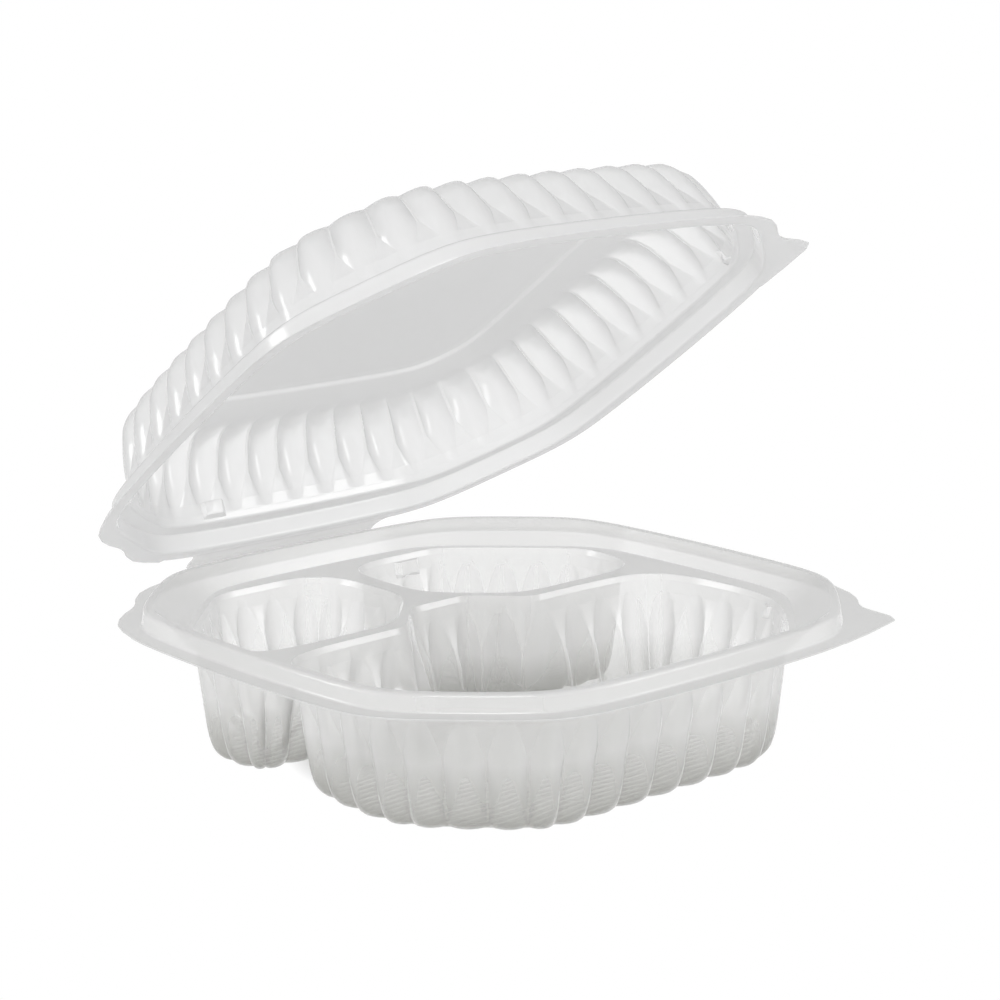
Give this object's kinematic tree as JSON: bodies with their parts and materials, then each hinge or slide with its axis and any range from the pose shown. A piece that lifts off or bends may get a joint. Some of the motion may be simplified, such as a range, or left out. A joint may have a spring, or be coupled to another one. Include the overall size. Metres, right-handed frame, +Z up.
{
  "type": "hinged takeaway meal container",
  "caption": "Clear thermoformed takeaway container with fluted pockets in its tray and a domed fluted lid on a living hinge, standing part open.",
  "frame": {"origin": "on the surface it stands on, under the middle of the tray's square flange", "axes": "+Z up; the hinge is at the back, +Y, and the lid opens at the front, -Y; +X is to the right seen from the front"},
  "size_m": [0.2286, 0.237, 0.2016],
  "materials": {
    "tray_plastic": "clear frosted polypropylene sheet",
    "lid_plastic": "clear frosted polypropylene sheet"
  },
  "bodies": {
    "tray": {"tray": "tray_plastic"},
    "lid": {"lid": "lid_plastic"}
  },
  "joints": [
    {"name": "lid_hinge", "type": "hinge", "parent": "tray", "child": "lid", "pos_m": [0, 0.1223, 0.04795], "axis": [-1, 0, 0], "range_deg": [-35.7, 144.3]}
  ]
}
